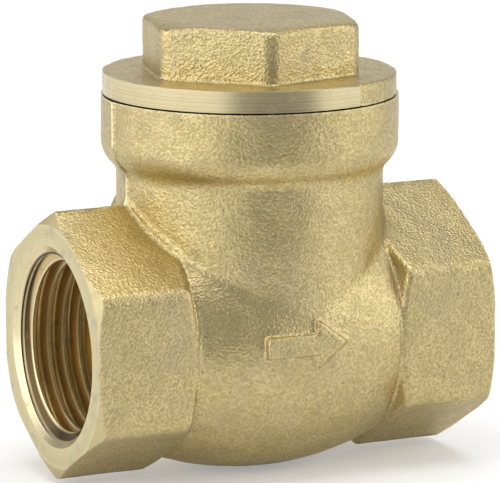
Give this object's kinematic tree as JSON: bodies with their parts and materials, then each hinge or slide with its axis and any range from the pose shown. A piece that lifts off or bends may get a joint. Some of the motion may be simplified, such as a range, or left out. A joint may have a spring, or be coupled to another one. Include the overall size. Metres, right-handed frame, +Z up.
{
  "type": "swing check valve",
  "caption": "Brass swing check valve with female-threaded hexagon ends, a screwed bonnet cap and a hinged clapper with a rubber-faced disc.",
  "frame": {"origin": "under the middle of the belly, on the bonnet's axis, at the lowest point of the valve", "axes": "+X along the pipe in the direction of flow, +Z up through the bonnet, -Y the side with the flow arrow"},
  "size_m": [0.0474, 0.0326, 0.05],
  "materials": {
    "forged_brass": "sand-blasted forging, with turned faces and threads",
    "turned_brass": "turned, satin",
    "stainless": "turned, bright",
    "nitrile": "moulded, matte"
  },
  "bodies": {
    "body": {"valve_body": "forged_brass", "hinge_pin": "stainless", "pin_plug": "turned_brass", "pin_plug_washer": "nitrile"},
    "clapper": {"swing_arm": "turned_brass"},
    "disc": {"disc_holder": "turned_brass", "seat_seal": "nitrile", "seal_washer": "stainless", "seal_screw": "stainless", "disc_washer": "turned_brass", "disc_nut": "turned_brass"},
    "bonnet_ring": {"bonnet_o_ring": "nitrile"},
    "bonnet": {"bonnet_cap": "forged_brass"}
  },
  "joints": [
    {"name": "clapper_swing", "type": "hinge", "parent": "body", "child": "clapper", "pos_m": [-0.006, 0, 0.02574], "axis": [0, -1, 0], "range_deg": [0, 70]},
    {"name": "disc_spin", "type": "hinge", "parent": "clapper", "child": "disc", "pos_m": [-0.00511, 0, 0.01558], "axis": [0.9962, 0, 0.0872], "continuous": true},
    {"name": "bonnet_lift", "type": "slide", "parent": "body", "child": "bonnet_ring", "axis": [0, 0, 1], "range_m": [0, 0.006]},
    {"name": "bonnet_turn", "type": "hinge", "parent": "bonnet_ring", "child": "bonnet", "pos_m": [0, 0, 0.045], "axis": [0, 0, 1], "range_deg": [0, 1440]}
  ],
  "couplings": [
    {"joint": "bonnet_lift", "follows": "bonnet_turn", "m_per_rad": 0.00023873}
  ]
}
